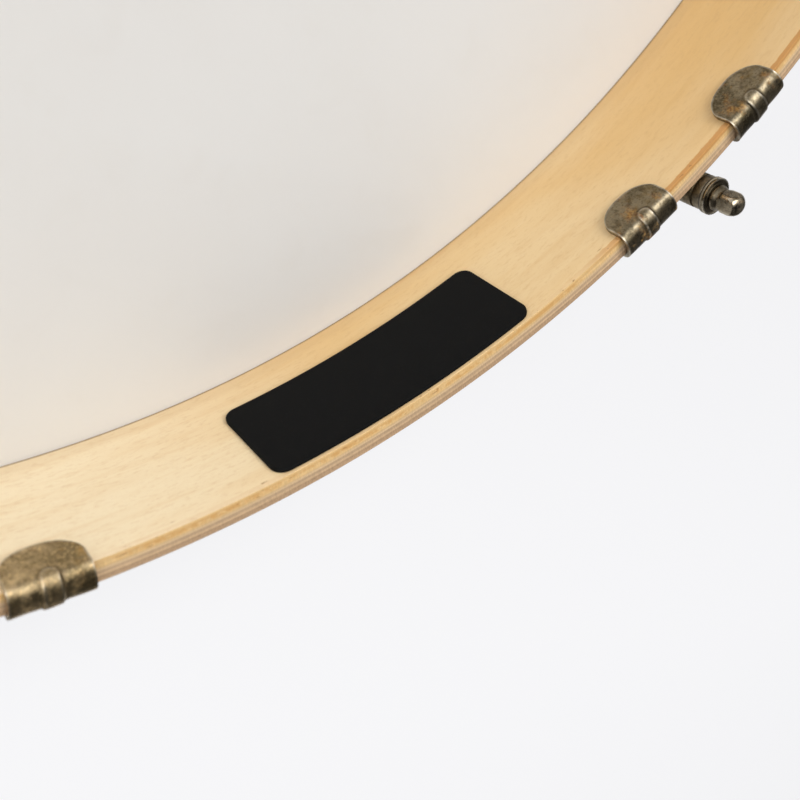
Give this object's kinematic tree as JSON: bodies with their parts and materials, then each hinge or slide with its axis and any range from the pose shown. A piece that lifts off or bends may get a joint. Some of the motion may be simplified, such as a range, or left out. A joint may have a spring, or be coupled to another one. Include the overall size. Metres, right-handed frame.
{
  "type": "bodhran",
  "caption": "Shallow round frame drum with a skin head, plywood frame, paired metal claws over the open back edge and tension rods that draw a front counter-hoop.",
  "frame": {"origin": "centre of the playing face of the head, which is also the face the drum rests on when laid open side up", "axes": "+Z from the playing face towards the open back; +X midway between two tuning stations, through the grip pad"},
  "size_m": [0.4638, 0.4638, 0.0427],
  "materials": {
    "maple_face": "satin",
    "cross_veneer": "matte",
    "centre_veneer": "matte",
    "skin": "matte",
    "pad_rubber": "matte",
    "aged_steel": "aged satin",
    "rod_steel": "satin",
    "nylon": "matte",
    "flesh_wood": "matte"
  },
  "bodies": {
    "frame": {"ply_1_inner_face": "maple_face", "ply_2_cross": "cross_veneer", "ply_3_centre": "centre_veneer", "ply_4_cross": "cross_veneer", "ply_5_outer_face": "maple_face", "drum_head": "skin", "grip_pad": "pad_rubber", "claw_yokes": "aged_steel", "rod_sleeves": "aged_steel", "nylon_washers": "nylon", "steel_washers": "rod_steel"},
    "hoop": {"flesh_hoop": "flesh_wood", "counter_hoop": "aged_steel", "hoop_lugs": "aged_steel"},
    "rod_1": {"tension_rod_1": "rod_steel"},
    "rod_2": {"tension_rod_2": "rod_steel"},
    "rod_3": {"tension_rod_3": "rod_steel"},
    "rod_4": {"tension_rod_4": "rod_steel"},
    "rod_5": {"tension_rod_5": "rod_steel"},
    "rod_6": {"tension_rod_6": "rod_steel"},
    "rod_7": {"tension_rod_7": "rod_steel"},
    "rod_8": {"tension_rod_8": "rod_steel"}
  },
  "joints": [
    {"name": "hoop_draw", "type": "slide", "parent": "frame", "child": "hoop", "axis": [0, 0, 1], "range_m": [-0.0015, 0.002]},
    {"name": "rod_1_turn", "type": "hinge", "parent": "frame", "child": "rod_1", "pos_m": [0.21767, 0.09016, 0.0344], "axis": [0, 0, 1], "range_deg": [-900, 675]},
    {"name": "rod_2_turn", "type": "hinge", "parent": "frame", "child": "rod_2", "pos_m": [0.09016, 0.21767, 0.0344], "axis": [0, 0, 1], "range_deg": [-900, 675]},
    {"name": "rod_3_turn", "type": "hinge", "parent": "frame", "child": "rod_3", "pos_m": [-0.09016, 0.21767, 0.0344], "axis": [0, 0, 1], "range_deg": [-900, 675]},
    {"name": "rod_4_turn", "type": "hinge", "parent": "frame", "child": "rod_4", "pos_m": [-0.21767, 0.09016, 0.0344], "axis": [0, 0, 1], "range_deg": [-900, 675]},
    {"name": "rod_5_turn", "type": "hinge", "parent": "frame", "child": "rod_5", "pos_m": [-0.21767, -0.09016, 0.0344], "axis": [0, 0, 1], "range_deg": [-900, 675]},
    {"name": "rod_6_turn", "type": "hinge", "parent": "frame", "child": "rod_6", "pos_m": [-0.09016, -0.21767, 0.0344], "axis": [0, 0, 1], "range_deg": [-900, 675]},
    {"name": "rod_7_turn", "type": "hinge", "parent": "frame", "child": "rod_7", "pos_m": [0.09016, -0.21767, 0.0344], "axis": [0, 0, 1], "range_deg": [-900, 675]},
    {"name": "rod_8_turn", "type": "hinge", "parent": "frame", "child": "rod_8", "pos_m": [0.21767, -0.09016, 0.0344], "axis": [0, 0, 1], "range_deg": [-900, 675]}
  ],
  "couplings": [
    {"joint": "rod_1_turn", "follows": "hoop_draw", "rad_per_m": -7854},
    {"joint": "rod_2_turn", "follows": "hoop_draw", "rad_per_m": -7854},
    {"joint": "rod_3_turn", "follows": "hoop_draw", "rad_per_m": -7854},
    {"joint": "rod_4_turn", "follows": "hoop_draw", "rad_per_m": -7854},
    {"joint": "rod_5_turn", "follows": "hoop_draw", "rad_per_m": -7854},
    {"joint": "rod_6_turn", "follows": "hoop_draw", "rad_per_m": -7854},
    {"joint": "rod_7_turn", "follows": "hoop_draw", "rad_per_m": -7854},
    {"joint": "rod_8_turn", "follows": "hoop_draw", "rad_per_m": -7854}
  ]
}
